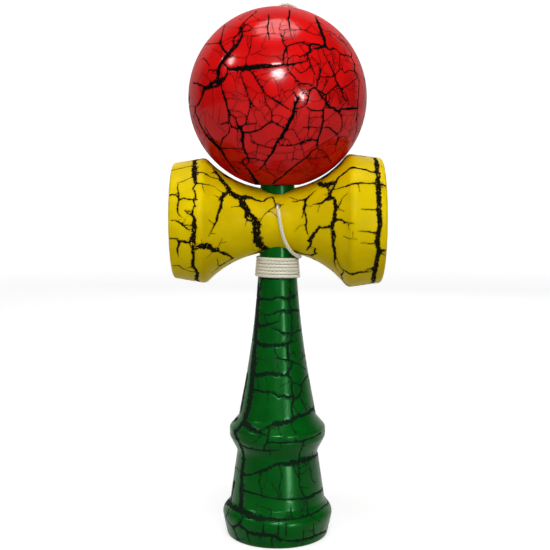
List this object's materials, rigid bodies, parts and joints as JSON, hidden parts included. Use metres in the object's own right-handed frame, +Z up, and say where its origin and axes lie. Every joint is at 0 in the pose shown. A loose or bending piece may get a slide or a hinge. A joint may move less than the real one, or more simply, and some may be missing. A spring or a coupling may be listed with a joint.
{
  "type": "kendama",
  "caption": "Kendama: turned handle with spike and base cup, cross-piece with a large and a small cup, and a drilled ball on a string wound round the neck, all in crackle paint.",
  "frame": {"origin": "centre of the base rim's flat face, on the surface that the kendama stands on", "axes": "+Z up the spike, +X along the cross-piece towards the big cup, -Y to the front, where the string leaves the cross-piece"},
  "size_m": [0.0698, 0.0609, 0.1799],
  "materials": {
    "green_crackle": "glossy green lacquer, crackled over black",
    "yellow_crackle": "glossy yellow lacquer, crackled over black",
    "red_crackle": "glossy red lacquer, crackled over black",
    "bead": "bare turned wood",
    "string": "white twisted string"
  },
  "bodies": {
    "ken": {"ken": "green_crackle", "cross_piece": "yellow_crackle", "ken_knot": "string", "string_lead": "string", "string_winding": "string", "string_tail": "string"},
    "string_end": {"tama_bead": "bead", "tama_knot": "string"},
    "tama": {"tama": "red_crackle"}
  },
  "joints": [
    {"name": "tama_lift", "type": "slide", "parent": "ken", "child": "string_end", "axis": [0, 0, 1], "range_m": [0, 0.044], "deforming": ["string_tail"]},
    {"name": "tama_spin", "type": "hinge", "parent": "string_end", "child": "tama", "pos_m": [0, 0, 0.1483], "axis": [0, 0, 1], "continuous": true}
  ]
}
